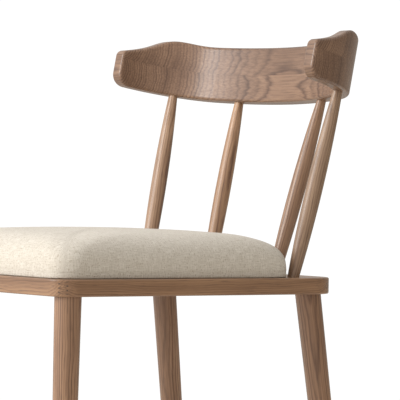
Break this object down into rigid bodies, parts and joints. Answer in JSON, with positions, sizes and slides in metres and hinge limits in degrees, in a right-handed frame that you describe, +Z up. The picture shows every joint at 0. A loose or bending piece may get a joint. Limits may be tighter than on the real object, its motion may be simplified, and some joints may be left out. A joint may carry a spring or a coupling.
{
  "type": "wooden armchair",
  "caption": "Low-backed wooden armchair: flat finger-jointed seat frame on splayed round legs, swelling spindles, a wrap-round bent crest rail and a crowned fabric seat pad.",
  "frame": {"origin": "on the floor, under the middle of the chair's box", "axes": "+Z up; the sitter faces -Y; +X to the sitter's left, the chair is the same on both sides of X = 0"},
  "size_m": [0.5514, 0.6144, 0.7725],
  "materials": {
    "crest_wood": "satin oiled, brown stain, open grain",
    "frame_wood": "satin oiled, brown stain, open grain",
    "leg_wood": "satin oiled, brown stain, turned",
    "spindle_wood": "satin oiled, brown stain, turned",
    "block_wood": "unfinished",
    "plywood": "unfinished",
    "seat_linen": "coarse oatmeal linen weave",
    "seat_foam": "open-cell foam",
    "dust_cloth": "non-woven cloth",
    "glide_plastic": "satin",
    "zinc_steel": "zinc plated"
  },
  "bodies": {
    "root": {"back_left_corner_block": "block_wood", "back_left_foot_glide": "glide_plastic", "back_left_leg": "leg_wood", "back_rail": "frame_wood", "back_right_corner_block": "block_wood", "back_right_foot_glide": "glide_plastic", "back_right_leg": "leg_wood", "crest_lower_board": "crest_wood", "crest_upper_board": "crest_wood", "dust_cover": "dust_cloth", "dust_cover_staples": "zinc_steel", "front_left_corner_block": "block_wood", "front_left_foot_glide": "glide_plastic", "front_left_leg": "leg_wood", "front_rail": "frame_wood", "front_right_corner_block": "block_wood", "front_right_foot_glide": "glide_plastic", "front_right_leg": "leg_wood", "glide_nails": "zinc_steel", "inner_left_spindle": "spindle_wood", "inner_right_spindle": "spindle_wood", "left_side_rail": "frame_wood", "leg_screws": "zinc_steel", "outer_left_spindle": "spindle_wood", "outer_right_spindle": "spindle_wood", "right_side_rail": "frame_wood", "seat_board": "plywood", "seat_board_screws": "zinc_steel", "seat_cover": "seat_linen", "seat_foam": "seat_foam"}
  },
  "joints": []
}
